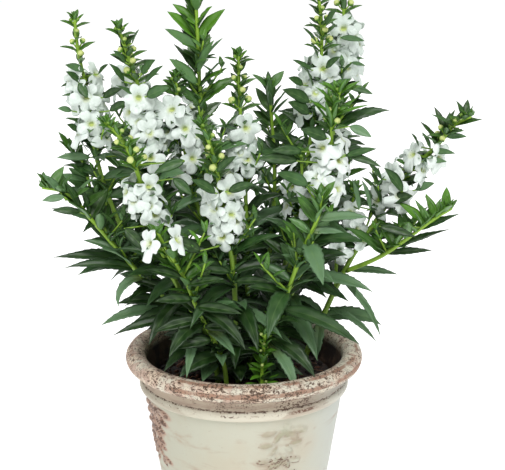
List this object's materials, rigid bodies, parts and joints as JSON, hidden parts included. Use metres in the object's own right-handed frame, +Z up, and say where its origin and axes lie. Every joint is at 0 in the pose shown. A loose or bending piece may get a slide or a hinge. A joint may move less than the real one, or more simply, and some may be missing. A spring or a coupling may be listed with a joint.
{
  "type": "potted flowering plant",
  "caption": "Potted angelonia: upright leafy stems with spikes of white lipped blooms, in a worn glazed clay pot with a rolled rim, filled with potting mix.",
  "frame": {"origin": "middle of the pot's flat base, on the surface that it stands on", "axes": "+Z up along the pot's axis, -Y towards the side that the plant is looked at from, +X to the right of that view"},
  "size_m": [0.272, 0.178, 0.3762],
  "materials": {
    "pot_glaze": "cream glaze, worn through to clay on the rim and the relief",
    "potting_mix": "damp dark peat and bark",
    "foliage": "half-glossy green leaf",
    "petals": "soft matt white petal"
  },
  "bodies": {
    "root": {"pot": "pot_glaze", "potting_mix": "potting_mix", "stem_a": "foliage", "stem_b": "foliage", "stem_c": "foliage", "stem_d": "foliage", "stem_e": "foliage", "stem_f": "foliage", "stem_g": "foliage", "stem_h": "foliage", "stem_i": "foliage", "stem_j": "foliage", "stem_k": "foliage", "stem_l": "foliage", "stem_m": "foliage", "stem_p": "foliage", "stem_q": "foliage", "stem_r": "foliage", "stem_s": "foliage", "stem_t": "foliage", "stem_u": "foliage", "stem_v": "foliage", "stem_w": "foliage", "spray_a": "petals", "spray_b": "petals", "spray_c": "petals", "spray_e": "petals", "spray_f": "petals", "spray_h": "petals", "spray_i": "petals", "spray_j": "petals", "spray_l": "petals", "spray_m": "petals", "spray_o": "petals", "spray_r": "petals", "spray_t": "petals", "spray_u": "petals", "spray_v": "petals", "spray_x": "petals"}
  },
  "joints": []
}
